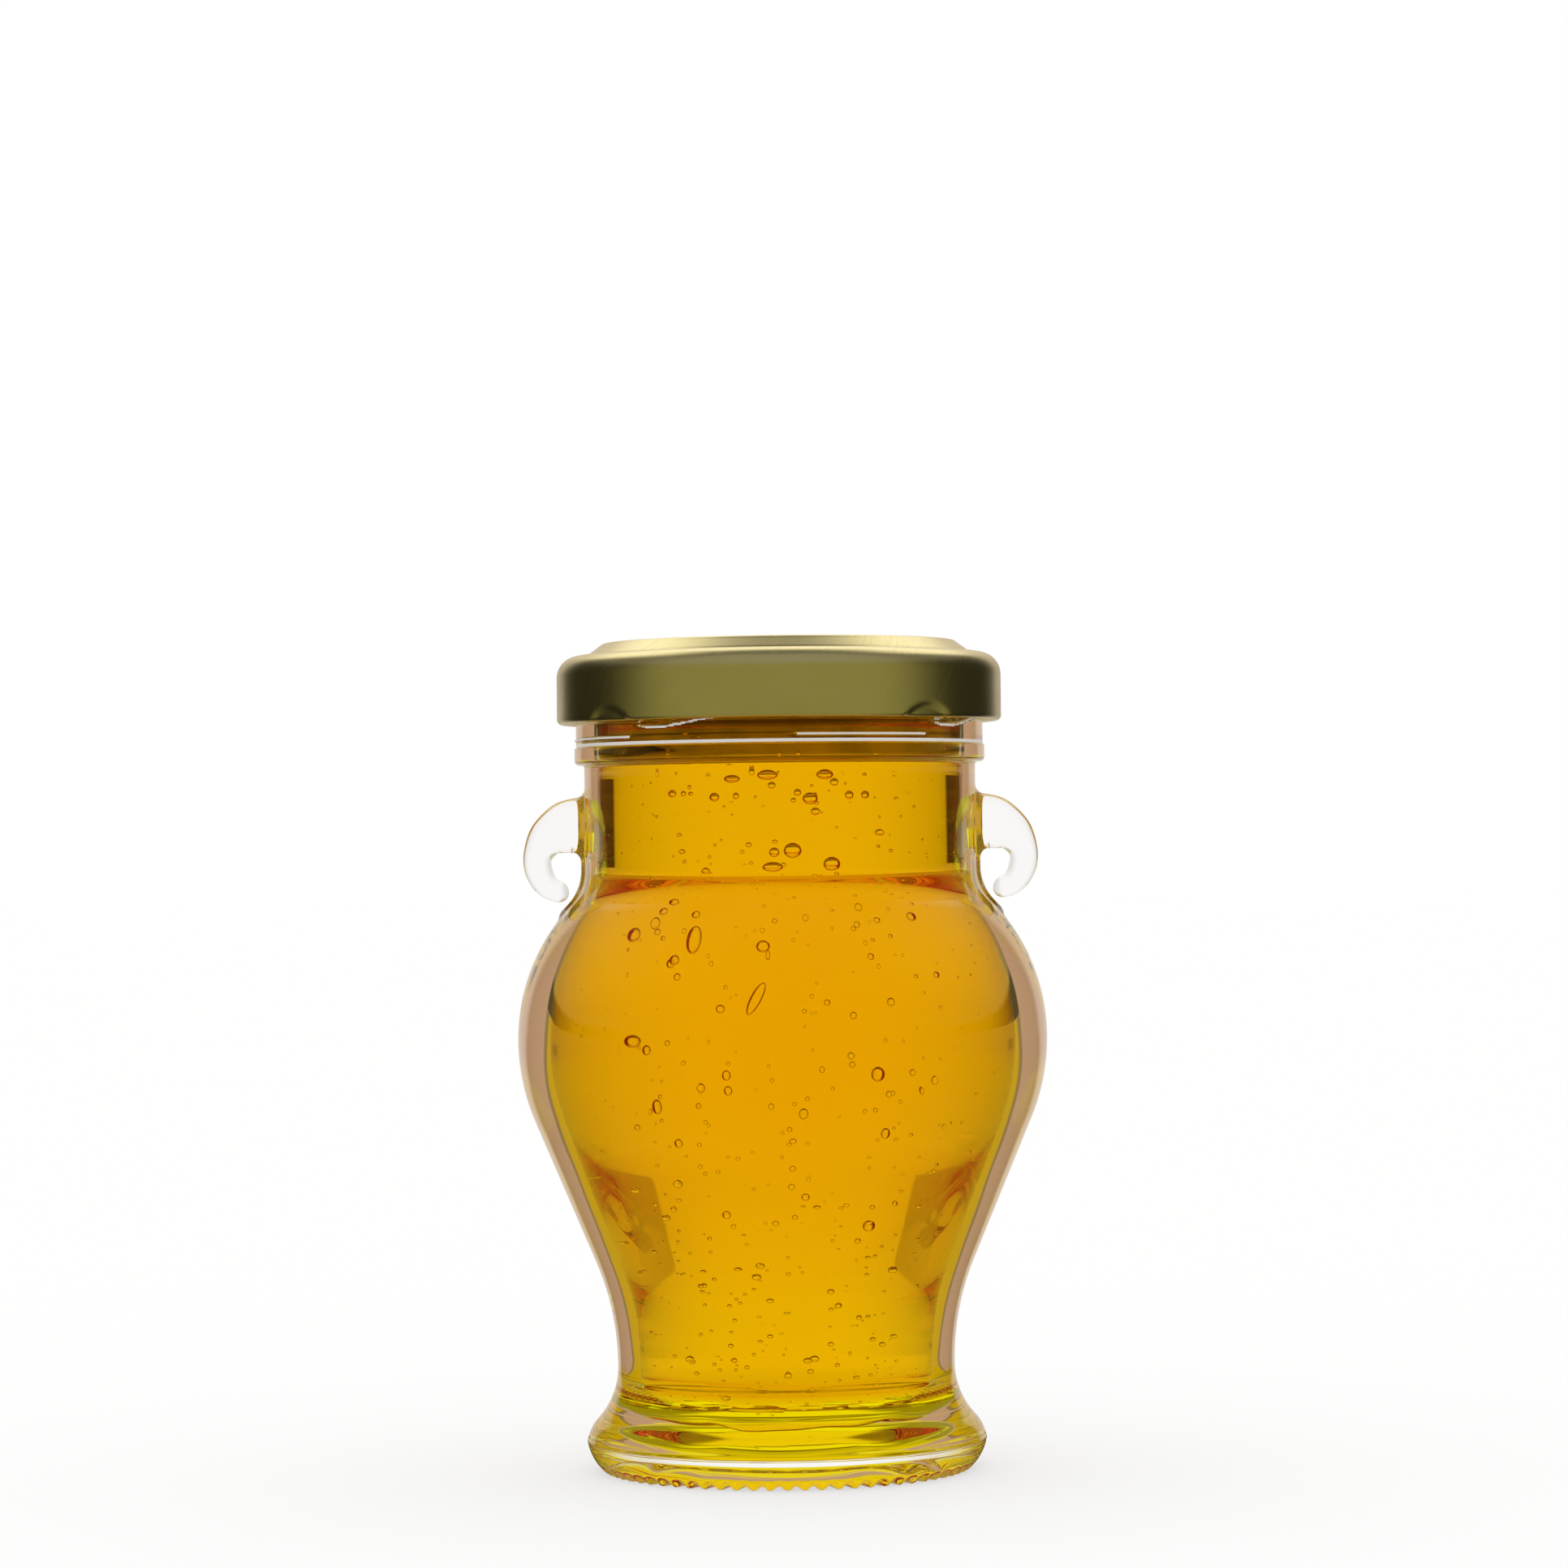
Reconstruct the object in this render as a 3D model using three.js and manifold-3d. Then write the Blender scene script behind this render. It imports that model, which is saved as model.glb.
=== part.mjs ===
// Amphora-shaped glass honey jar: moulded glass body with two curled ears, a fill of honey, and a four-lug
// twist-off lid with its sealing ring. Millimetres, +Z up, origin on the axis in the standing plane. The front of
// the jar faces -Y and the ears point along +X and -X.
import * as THREE from 'three';
import { mergeVertices } from 'three/addons/utils/BufferGeometryUtils.js';
import { ParametricGeometry } from 'three/addons/geometries/ParametricGeometry.js';
import Module from 'manifold-3d';

// Glass body: outer radii and the heights between them, from the standing plane upwards
const STANDING_R = 22.7;
const STANDING_WIDTH = 3.2;
const PUSH_UP = 1.6;
const FOOT_R = 25.0;
const FOOT_HEIGHT = 3.5;
const HEEL_FULLNESS = 1.4;
const WAIST_R = 21.15;
const FOOT_TO_WAIST = 9.7;
const BELLY_R = 33.25;
const WAIST_TO_BELLY = 40.9;
const NECK_R = 24.6;
const BELLY_TO_SHOULDER = 21.3;
const NECK_HEIGHT = 13.2;
const BEAD_HEIGHT = 2.3;
const BEAD_ROUND = 0.55;
const FINISH_HEIGHT = 9.95;
const FINISH_STEP = 1.0;
const BEAD_STEP = 0.2;
const RIM_ROUND = 0.9;

// Share of each double bend that its first and its second arc take; what is left over is straight
const HEEL_BEND = [0.3, 0.7];
const LOWER_BEND = [0.45, 0.35];
const UPPER_BEND = [0.8, 0.2];

// Glass walls
const BELLY_WALL = 4.0;
const WAIST_WALL = 2.75;
const NECK_WALL = 1.6;
const FLOOR_HEIGHT = 3.6;
const FLOOR_BOWL = 10.4;
const FLOOR_FULLNESS = 4;
const INNER_SHOULDER_DROP = 1.4;

// Ears: centre line as (out from the neck, up from the root), then the section's thickness and depth, and where
// along that line the root ends, the side is reached and the two end caps lie
const EAR_PATH = [
  [-1.0, 0.1], [0.4, 0], [2.8, -0.45], [4.9, -1.8], [6.0, -4.0], [5.7, -6.2], [4.4, -7.95], [2.1, -8.55],
];
const EAR_BELOW_BEAD = 7.5;
const EAR_ROOT_THICKNESS = 6.9;
const EAR_SIDE_THICKNESS = 3.5;
const EAR_TIP_THICKNESS = 2.6;
const EAR_ROOT_DEPTH = 6.4;
const EAR_DEPTH = 4.6;
const EAR_SQUARENESS = 2.6;
const EAR_ROOT_CAP = 0.04;
const EAR_ROOT_AT = 0.12;
const EAR_SIDE_AT = 0.62;
const EAR_TIP_CAP = 0.07;

// Thread ridges on the finish
const STARTS = 4;
const THREAD_DEPTH = 0.75;
const THREAD_BASE_HEIGHT = 2.2;
const THREAD_CREST_HEIGHT = 1.1;
const THREAD_ROOT_SINK = 0.5;
const THREAD_LEAD = 26;
const THREAD_SPAN = 70;
const THREAD_TAPER = 9;
const NOSE_AZIMUTH = -42.5;
const CLOSING_TURN = 38;

// Lid, its lugs and its sealing ring
const SHEET = 0.3;
const CURL_DIAMETER = 1.3;
const SKIRT_HEIGHT = 8.6;
const LID_SHOULDER_ROUND = 2.75;
const LEDGE_WIDTH = 0.75;
const PANEL_SLOPE_WIDTH = 1.8;
const PANEL_RISE = 1.55;
const PANEL_ROUND = 0.8;
const LUG_WIDTH = 5.0;
const LUG_THICKNESS = 1.0;
const LUG_SIDE_GAP = 0.5;
const SEAL_THICKNESS = 0.7;
const SEAL_WIDTH = 2.4;

// Clearances
const RUN_CLEARANCE = 0.3;
const SEAL_CLEARANCE = 0.3;
const BOND_CLEARANCE = 0.15;
const FILL_CLEARANCE = 0.3;
const FILL_BELOW_RIM = 6.35;

// Facets
const SIDES = 64;
const FILL_SIDES = 48;
const HEEL_STEPS = 4;
const BOWL_STEPS = 8;
const WELD = 0.01;
const BEND_STEP = THREE.MathUtils.degToRad(14);

// Heights and radii that follow from the sizes above
const WAIST_Z = FOOT_HEIGHT + FOOT_TO_WAIST;
const BELLY_Z = WAIST_Z + WAIST_TO_BELLY;
const SHOULDER_Z = BELLY_Z + BELLY_TO_SHOULDER;
const BEAD_Z = SHOULDER_Z + NECK_HEIGHT;
const FINISH_Z = BEAD_Z + BEAD_HEIGHT;
const RIM_Z = FINISH_Z + FINISH_HEIGHT;
const BORE_R = NECK_R - NECK_WALL;
const FINISH_R = NECK_R + FINISH_STEP;
const BEAD_R = FINISH_R + BEAD_STEP;
const THREAD_R = FINISH_R + THREAD_DEPTH;
const LID_R = THREAD_R + RUN_CLEARANCE + CURL_DIAMETER;
const LUG_TIP_R = FINISH_R + RUN_CLEARANCE;
const SEAL_Z = RIM_Z + SEAL_CLEARANCE;
const LEDGE_Z = SEAL_Z + SEAL_THICKNESS + BOND_CLEARANCE + SHEET;
const LID_BOTTOM_Z = LEDGE_Z - SKIRT_HEIGHT;
const LUG_TOP_Z = LID_BOTTOM_Z + LUG_THICKNESS;
const LUG_HALF_ANGLE = THREE.MathUtils.radToDeg(LUG_WIDTH / 2 / THREAD_R);
const LUG_GAP_ANGLE = THREE.MathUtils.radToDeg(LUG_SIDE_GAP / THREAD_R);
const LUG_AZIMUTH = NOSE_AZIMUTH - LUG_GAP_ANGLE - LUG_HALF_ANGLE;
const START_PITCH = 360 / STARTS;

const wasm = await Module();
wasm.setup();

// Joining of closed geometries into one solid
function toSolid(geometry) {
  const bare = geometry.clone();
  bare.deleteAttribute('normal');
  bare.deleteAttribute('uv');
  const merged = mergeVertices(bare, 1e-4);
  const corners = merged.index.array;
  const triVerts = [];
  for (let i = 0; i < corners.length; i += 3) {
    const [a, b, c] = corners.slice(i, i + 3);
    if (a !== b && b !== c && c !== a) triVerts.push(a, b, c);
  }
  const vertProperties = new Float32Array(merged.attributes.position.array);
  return new wasm.Manifold(new wasm.Mesh({ numProp: 3, vertProperties, triVerts: new Uint32Array(triVerts) }));
}

function toGeometry(solid) {
  const mesh = solid.getMesh();
  const geometry = new THREE.BufferGeometry();
  geometry.setAttribute('position', new THREE.BufferAttribute(new Float32Array(mesh.vertProperties), 3));
  geometry.setIndex(new THREE.BufferAttribute(new Uint32Array(mesh.triVerts), 1));
  geometry.computeVertexNormals();
  return geometry;
}

function joined(geometries) {
  const solids = geometries.map(toSolid);
  return toGeometry(solids.reduce((whole, next) => whole.add(next)).simplify(WELD));
}

// A profile of (radius, height) points, turned about the Z axis
function turned(profile, sides) {
  const points = profile.map(([r, z]) => new THREE.Vector2(r, z));
  return new THREE.LatheGeometry(points, sides, Math.PI / sides).rotateX(Math.PI / 2);
}

// Points of an arc about (r, z), from one angle to another, in degrees
function arc(r, z, radius, from, to) {
  const steps = Math.max(2, Math.ceil(THREE.MathUtils.degToRad(Math.abs(to - from)) / (3 * BEND_STEP)));
  return Array.from({ length: steps + 1 }, (_, i) => {
    const angle = THREE.MathUtils.degToRad(from + ((to - from) * i) / steps);
    return [r + radius * Math.cos(angle), z + radius * Math.sin(angle)];
  });
}

// A double bend between two upright tangents: an arc at each end and a straight stretch between them
function doubleBend([r0, z0], [r1, z1], [share0, share1]) {
  const across = Math.abs(r1 - r0);
  const along = Math.abs(z1 - z0);
  const side = Math.sign(r1 - r0);
  const way = Math.sign(z1 - z0);
  const whole = (across ** 2 + along ** 2) / (2 * across);
  const radius0 = share0 * whole;
  const radius1 = share1 * whole;
  const sum = radius0 + radius1;
  const reach = Math.hypot(along, sum - across);
  const turn = Math.asin(Math.min(1, sum / reach)) - Math.atan2(sum - across, along);
  const steps = Math.max(2, Math.ceil(turn / BEND_STEP));
  const first = Array.from({ length: steps + 1 }, (_, i) => {
    const angle = (turn * i) / steps;
    return [r0 + side * radius0 * (1 - Math.cos(angle)), z0 + way * radius0 * Math.sin(angle)];
  });
  const second = Array.from({ length: steps + 1 }, (_, i) => {
    const angle = turn * (1 - i / steps);
    return [r1 - side * radius1 * (1 - Math.cos(angle)), z1 - way * radius1 * Math.sin(angle)];
  });
  return [...first, ...(share0 + share1 < 1 ? second : second.slice(1))];
}

// Quarter of a superellipse from straight below its centre out to its side, without that last point
function quarterRound(r, z, across, down, fullness, steps) {
  return Array.from({ length: steps }, (_, i) => {
    const angle = (Math.PI / 2) * (i / steps);
    const out = Math.sin(angle) ** (2 / fullness);
    const under = Math.cos(angle) ** (2 / fullness);
    return [r + across * out, z - down * under];
  });
}

// Cavity wall from the middle of its bowl-shaped floor up to a height in the neck, drawn in by a clearance
function cavityWall(inset, topZ) {
  const lowR = WAIST_R - WAIST_WALL - inset;
  const bowlZ = FLOOR_HEIGHT + FLOOR_BOWL;
  const belly = [BELLY_R - BELLY_WALL - inset, BELLY_Z];
  const bore = [BORE_R - inset, SHOULDER_Z - INNER_SHOULDER_DROP];
  return [
    ...quarterRound(0, bowlZ, lowR, FLOOR_BOWL - inset, FLOOR_FULLNESS, BOWL_STEPS),
    ...doubleBend([lowR, bowlZ], belly, LOWER_BEND),
    ...doubleBend(belly, bore, UPPER_BEND).slice(1),
    [BORE_R - inset, topZ],
  ];
}

function bodyGeometry() {
  const foot = [FOOT_R, FOOT_HEIGHT];
  const waist = [WAIST_R, WAIST_Z];
  const belly = [BELLY_R, BELLY_Z];
  const shoulder = [NECK_R, SHOULDER_Z];
  const profile = [
    [0, PUSH_UP],
    [STANDING_R - STANDING_WIDTH, 0],
    ...quarterRound(STANDING_R, FOOT_HEIGHT, FOOT_R - STANDING_R, FOOT_HEIGHT, HEEL_FULLNESS, HEEL_STEPS),
    ...doubleBend(foot, waist, HEEL_BEND),
    ...doubleBend(waist, belly, LOWER_BEND).slice(1),
    ...doubleBend(belly, shoulder, UPPER_BEND).slice(1),
    [NECK_R, BEAD_Z - BEAD_ROUND],
    ...arc(BEAD_R - BEAD_ROUND, BEAD_Z + BEAD_ROUND, BEAD_ROUND, -90, 0),
    [BEAD_R, FINISH_Z - BEAD_STEP],
    [FINISH_R, FINISH_Z],
    ...arc(FINISH_R - RIM_ROUND, RIM_Z - RIM_ROUND, RIM_ROUND, 0, 90),
    ...arc(BORE_R + RIM_ROUND, RIM_Z - RIM_ROUND, RIM_ROUND, 90, 180),
    ...cavityWall(0, RIM_Z - RIM_ROUND).reverse().slice(1),
  ];
  return turned(profile, SIDES);
}

// One ear: a flattened section swept along its curl, closed inside the neck wall and rounded at the tip
function earGeometry(side) {
  const rootZ = BEAD_Z - EAR_BELOW_BEAD;
  const path = new THREE.CatmullRomCurve3(
    EAR_PATH.map(([out, up]) => new THREE.Vector3(side * (NECK_R + out), 0, rootZ + up)),
  );
  const lateral = new THREE.Vector3(0, 1, 0);
  const superellipse = (value) => Math.sign(value) * Math.abs(value) ** (2 / EAR_SQUARENESS);
  const surface = (along, around, target) => {
    const tangent = path.getTangent(along);
    const across = new THREE.Vector3().crossVectors(lateral, tangent).normalize();
    const toSide = THREE.MathUtils.smoothstep(along, EAR_ROOT_AT, EAR_SIDE_AT);
    const toTip = THREE.MathUtils.smoothstep(along, EAR_SIDE_AT, 1);
    const rootPart = THREE.MathUtils.lerp(EAR_ROOT_THICKNESS, EAR_SIDE_THICKNESS, toSide);
    const thickness = THREE.MathUtils.lerp(rootPart, EAR_TIP_THICKNESS, toTip);
    const depth = THREE.MathUtils.lerp(EAR_ROOT_DEPTH, EAR_DEPTH, toSide);
    const intoTip = Math.max(0, (along - 1 + EAR_TIP_CAP) / EAR_TIP_CAP);
    const closing = Math.min(Math.sqrt(along / EAR_ROOT_CAP), Math.sqrt(Math.max(0, 1 - intoTip ** 2)), 1);
    const angle = -2 * Math.PI * around;
    target.copy(path.getPoint(along));
    target.addScaledVector(across, (closing * thickness * superellipse(Math.cos(angle))) / 2);
    target.addScaledVector(lateral, (closing * depth * superellipse(Math.sin(angle))) / 2);
  };
  return new ParametricGeometry(surface, 24, 12);
}

// One thread ridge: a trapezoid swept up a helix, tapering into the wall at both ends
function threadGeometry(start) {
  const lugEdge = LUG_AZIMUTH - CLOSING_TURN - LUG_HALF_ANGLE;
  const underLug = START_PITCH + lugEdge - NOSE_AZIMUTH;
  const latchZ = LUG_TOP_Z + RUN_CLEARANCE + THREAD_BASE_HEIGHT / 2;
  const noseZ = latchZ - (THREAD_LEAD * underLug) / 360;
  const section = [[0, -1], [1, -1], [1, 1], [0, 1], [0, -1]];
  const surface = (along, around, target) => {
    const fromEnd = Math.min(along, 1 - along) * THREAD_SPAN;
    const height = Math.sqrt(Math.min(1, fromEnd / THREAD_TAPER));
    const [outer, upper] = section[Math.round(4 * around)];
    const tall = outer ? THREAD_CREST_HEIGHT : THREAD_BASE_HEIGHT;
    const radius = FINISH_R - THREAD_ROOT_SINK + outer * (THREAD_DEPTH + THREAD_ROOT_SINK) * height;
    const azimuth = NOSE_AZIMUTH - 90 + START_PITCH * start + THREAD_SPAN * along;
    const angle = THREE.MathUtils.degToRad(azimuth);
    const z = noseZ + (THREAD_LEAD * THREAD_SPAN * along) / 360 + (upper * tall * height) / 2;
    target.set(radius * Math.cos(angle), radius * Math.sin(angle), z);
  };
  return new ParametricGeometry(surface, 18, 4);
}

function glassGeometry() {
  const threads = Array.from({ length: STARTS }, (_, i) => threadGeometry(i));
  return joined([bodyGeometry(), earGeometry(1), earGeometry(-1), ...threads]);
}

function honeyGeometry() {
  const topZ = RIM_Z - FILL_BELOW_RIM;
  return turned([...cavityWall(FILL_CLEARANCE, topZ), [0, topZ]], FILL_SIDES);
}

// One lug: a tab of the rolled edge, pressed inwards so that it runs under a thread ridge
function lugGeometry(index) {
  const middle = LUG_AZIMUTH - 90 + START_PITCH * index;
  const from = THREE.MathUtils.degToRad(middle - LUG_HALF_ANGLE);
  const to = THREE.MathUtils.degToRad(middle + LUG_HALF_ANGLE);
  const outline = new THREE.Shape();
  outline.absarc(0, 0, LUG_TIP_R, from, to, false);
  outline.absarc(0, 0, LID_R - CURL_DIAMETER / 2, to, from, true);
  const tab = new THREE.ExtrudeGeometry(outline, { depth: LUG_THICKNESS, bevelEnabled: false, curveSegments: 3 });
  return tab.translate(0, 0, LID_BOTTOM_Z);
}

function lidGeometry() {
  const panelZ = LEDGE_Z + PANEL_RISE;
  const ledgeOuterR = LID_R - LID_SHOULDER_ROUND;
  const ledgeInnerR = ledgeOuterR - LEDGE_WIDTH;
  const panelR = ledgeInnerR - PANEL_SLOPE_WIDTH;
  const curlR = CURL_DIAMETER / 2;
  const curlZ = LID_BOTTOM_Z + curlR;
  const innerRound = LID_SHOULDER_ROUND - SHEET;
  const shoulderZ = LEDGE_Z - LID_SHOULDER_ROUND;
  const profile = [
    [0, panelZ - SHEET],
    [panelR - PANEL_ROUND, panelZ - SHEET],
    [ledgeInnerR - SHEET, LEDGE_Z - SHEET],
    ...arc(ledgeOuterR, shoulderZ, innerRound, 90, 0),
    [LID_R - SHEET, curlZ + curlR],
    ...arc(LID_R - curlR, curlZ, curlR, 100, 360),
    ...arc(ledgeOuterR, shoulderZ, LID_SHOULDER_ROUND, 0, 90),
    [ledgeInnerR, LEDGE_Z],
    ...arc(panelR - PANEL_ROUND, panelZ - PANEL_ROUND, PANEL_ROUND, 45, 90),
    [0, panelZ],
  ];
  const lugs = Array.from({ length: STARTS }, (_, i) => lugGeometry(i));
  return joined([turned(profile, SIDES), ...lugs]);
}

function sealGeometry() {
  const outerR = LID_R - LID_SHOULDER_ROUND;
  const innerR = outerR - SEAL_WIDTH;
  const topZ = SEAL_Z + SEAL_THICKNESS;
  const profile = [[innerR, SEAL_Z], [outerR, SEAL_Z], [outerR, topZ], [innerR, topZ], [innerR, SEAL_Z]];
  return turned(profile, SIDES);
}

function part(name, geometry, look) {
  const mesh = new THREE.Mesh(geometry, new THREE.MeshStandardMaterial(look));
  mesh.name = name;
  return mesh;
}

const jar = new THREE.Group();
const clearGlass = { color: 0xf2f0ea, roughness: 0.03, metalness: 0, transparent: true, opacity: 0.35 };
jar.add(part('glass_jar', glassGeometry(), clearGlass));
jar.add(part('honey', honeyGeometry(), { color: 0xe09a02, roughness: 0.1, metalness: 0 }));
jar.add(part('lid_shell', lidGeometry(), { color: 0xb59a4a, roughness: 0.3, metalness: 1 }));
jar.add(part('sealing_ring', sealGeometry(), { color: 0xe8dfc8, roughness: 0.6, metalness: 0 }));

export default jar;
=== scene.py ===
"""Looks of an amphora-shaped glass honey jar with a twist-off lid.

The jar's lengths are in millimetres until MM turns them into metres.
Lengths in the looks and the surroundings are in metres.
"""

import math
import random

import bpy
import numpy as np
from mathutils import Matrix, Vector


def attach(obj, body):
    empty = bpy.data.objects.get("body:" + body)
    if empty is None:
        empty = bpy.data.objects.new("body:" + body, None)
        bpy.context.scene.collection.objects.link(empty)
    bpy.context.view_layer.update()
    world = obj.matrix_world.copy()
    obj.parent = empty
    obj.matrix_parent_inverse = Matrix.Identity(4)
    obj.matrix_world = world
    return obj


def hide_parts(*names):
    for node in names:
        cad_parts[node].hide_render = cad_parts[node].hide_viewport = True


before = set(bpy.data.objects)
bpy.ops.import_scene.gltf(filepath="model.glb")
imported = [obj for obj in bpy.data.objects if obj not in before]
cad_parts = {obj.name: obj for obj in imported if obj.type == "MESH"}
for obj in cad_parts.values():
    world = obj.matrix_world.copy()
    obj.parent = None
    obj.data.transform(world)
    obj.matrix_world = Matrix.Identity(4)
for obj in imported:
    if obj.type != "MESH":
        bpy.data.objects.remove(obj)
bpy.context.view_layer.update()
MM = 0.001
TAU = 2 * math.pi
QUARTER = 90
RADIAN = math.degrees(1)
rng = random.Random(20)

# Sizes shared with the solids
STANDING_R, STANDING_WIDTH, PUSH_UP = 22.7, 3.2, 1.6
FOOT_R, FOOT_Z, HEEL_FULLNESS = 25.0, 3.5, 1.4
WAIST_R, WAIST_Z = 21.15, 13.2
BELLY_R, BELLY_Z = 33.25, 54.1
NECK_R, SHOULDER_Z = 24.6, 75.4
BEAD_R, BEAD_Z, BEAD_ROUND = 25.8, 88.6, 0.55
FINISH_R, FINISH_Z = 25.6, 90.9
RIM_Z, RIM_ROUND = 100.85, 0.9
HEEL_BEND, LOWER_BEND, UPPER_BEND = (0.3, 0.7), (0.45, 0.35), (0.8, 0.2)
BELLY_WALL, WAIST_WALL, BORE_R = 4.0, 2.75, 23.0
FLOOR_Z, FLOOR_BOWL, FLOOR_FULLNESS, INNER_SHOULDER_DROP = 3.6, 10.4, 4.0, 1.4
FILL_Z = 94.5
EAR_PATH = ((1.2, -0.08), (2.8, -0.45), (4.9, -1.8), (6.0, -4.0), (5.7, -6.2), (4.4, -7.95), (2.1, -8.55))
EAR_Z = 81.1
THREAD_DEPTH, THREAD_BASE, THREAD_CREST = 0.75, 2.2, 1.1
THREAD_LEAD, THREAD_SPAN, THREAD_TAPER, THREAD_STARTS = 26.0, 70.0, 9.0, 4
NOSE_AZIMUTH, NOSE_Z = -42.5, 93.21
LID_R, SHEET, CURL, LEDGE_Z, LID_Z = 27.95, 0.3, 1.3, 102.3, 93.7
LID_ROUND, LEDGE_WIDTH, PANEL_SLOPE, PANEL_RISE, PANEL_ROUND = 2.75, 0.75, 1.8, 1.55, 0.8
LUG_AZIMUTH, LUG_TIP_R = -49.02, 25.9
SEAL_Z, SEAL_THICKNESS, SEAL_WIDTH = 101.15, 0.7, 2.4

# Ripples round the jar's axis, each with its count and its start
RIPPLES = ((5, 0.6), (9, 2.0), (14, 0.0))
WET_Z, WET_HEIGHTS = 9.2, (0.35, 0.25, 0.15)
FLOOR_HEIGHTS = (0.3, 0.22, 0.15)
FLOOR_RIPPLE_R, FLOOR_RIPPLE_Z = (9.0, 16.0), (FLOOR_Z + 5.0, FLOOR_Z + 2.0)

# Outlines, as (radius, height) points
FLOOR_STEPS = 40
MIDDLE_R = 0.5
SAME_POINT, HAIR = 1e-6, 0.01


def arc(r, z, radius, start, end, step=8.0):
    """A round stretch between two angles in degrees."""
    n = max(2, math.ceil(abs(end - start) / step))
    angles = [math.radians(start + (end - start) * i / n) for i in range(n + 1)]
    return [(r + radius * math.cos(a), z + radius * math.sin(a)) for a in angles]


def double_bend(p0, p1, shares, step=1.5):
    """An arc, a straight stretch and an arc the other way, upright at both ends. The shares set the radii."""
    across, along = abs(p1[0] - p0[0]), abs(p1[1] - p0[1])
    side, way = math.copysign(1, p1[0] - p0[0]), math.copysign(1, p1[1] - p0[1])
    whole = (across**2 + along**2) / (2 * across)
    a, b = shares[0] * whole, shares[1] * whole
    reach = math.hypot(along, a + b - across)
    turn = math.asin(min(1, (a + b) / reach)) - math.atan2(a + b - across, along)
    n = max(3, math.ceil(math.degrees(turn) / step))
    first, second = [], []
    for i in range(n + 1):
        t = turn * i / n
        first.append((p0[0] + side * a * (1 - math.cos(t)), p0[1] + way * a * math.sin(t)))
        t = turn * (1 - i / n)
        second.append((p1[0] - side * b * (1 - math.cos(t)), p1[1] - way * b * math.sin(t)))
    return first + (second if sum(shares) < 1 else second[1:])


def filled(points, longest):
    """The same outline with no stretch longer than this, and no doubled point."""
    out = [points[0]]
    for p in points[1:]:
        q = out[-1]
        length = math.dist(p, q)
        if length < SAME_POINT:
            continue
        n = math.ceil(length / longest)
        out += [(q[0] + (p[0] - q[0]) * i / n, q[1] + (p[1] - q[1]) * i / n) for i in range(1, n + 1)]
    return out


def smooth(x, low, high):
    """A smooth step from 0 at low to 1 at high, where high may be the smaller of the two."""
    t = np.clip((x - low) / (high - low), 0, 1)
    return t * t * (3 - 2 * t)


def ripple(theta, heights, base=0.0):
    """A height that waves round the axis."""
    waves = (height * np.sin(count * theta + start) for height, (count, start) in zip(heights, RIPPLES))
    return sum(waves, base)


def wet_z(theta):
    """Wavy height up to which the honey clings to the glass with no gap."""
    return ripple(theta, WET_HEIGHTS, WET_Z)


def floor_ripple(theta, r, z):
    """Waves of the cavity's floor, which is flat in the middle and plain up the sides."""
    return ripple(theta, FLOOR_HEIGHTS) * smooth(r, *FLOOR_RIPPLE_R) * smooth(z, *FLOOR_RIPPLE_Z)


def cavity(inset, top_z):
    """The inside of the jar, moved in by the inset, from the middle of the floor up to a height."""
    low_r = WAIST_R - WAIST_WALL - inset
    corner, floor_z = FLOOR_Z + FLOOR_BOWL, FLOOR_Z + inset
    belly = (BELLY_R - BELLY_WALL - inset, BELLY_Z)
    bore = (BORE_R - inset, SHOULDER_Z - INNER_SHOULDER_DROP)
    power = 2 / FLOOR_FULLNESS
    points = []
    for i in range(FLOOR_STEPS + 1):
        a = math.pi / 2 * i / FLOOR_STEPS
        down = (corner - floor_z) * max(0.0, math.cos(a)) ** power
        points.append((low_r * math.sin(a) ** power, corner - down))
    points += double_bend((low_r, corner), belly, LOWER_BEND)
    return points + double_bend(belly, bore, UPPER_BEND) + [(BORE_R - inset, top_z)]


def curve(points, steps=12):
    """A smooth line through all points but the first and the last, which steer its ends."""
    line = []
    for i in range(1, len(points) - 2):
        a, b, c, d = (np.array(p) for p in points[i - 1 : i + 3])
        for t in np.arange(steps) / steps:
            at = 2 * b + (c - a) * t + (2 * a - 5 * b + 4 * c - d) * t**2
            line.append(0.5 * (at + (3 * b - a - 3 * c + d) * t**3))
    return np.array([*line, np.array(points[-2])])


# Meshes
def turned_faces(rows, segments, skip=lambda row, seg: False):
    """Quads of a turned surface, seen from outside when the outline runs up.

    A vertex has the number row * segments + seg.
    """
    faces = []
    for row in range(rows - 1):
        for seg in range(segments):
            if not skip(row, seg):
                a, b = row * segments + seg, row * segments + (seg + 1) % segments
                faces.append((a, b, b + segments, a + segments))
    return faces


def fan(ring, tip, flip=False):
    """Triangles from a ring to one point."""
    pairs = zip(ring, ring[1:] + ring[:1])
    return [(b, a, tip) if flip else (a, b, tip) for a, b in pairs]


def end_fans(points, rows, segments, first_z, last_z):
    """Adds the middle points of a turned surface's two ends, and returns the faces that close each end."""
    points += [[0, 0, first_z], [0, 0, last_z]]
    last = (rows - 1) * segments
    first_end = fan(list(range(segments)), len(points) - 2, flip=True)
    return first_end, fan(list(range(last, last + segments)), len(points) - 1)


def turned_points(outline, segments):
    """Angle, radius and height of every vertex of a turned outline."""
    r = np.repeat([p[0] for p in outline], segments)
    z = np.repeat([p[1] for p in outline], segments)
    theta = np.tile(np.arange(segments) * TAU / segments, len(outline))
    return theta, r.astype(float), z.astype(float)


def from_front(theta):
    """Degrees round the axis from the jar's front, for an angle from +X."""
    return np.degrees(theta) + QUARTER


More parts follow.
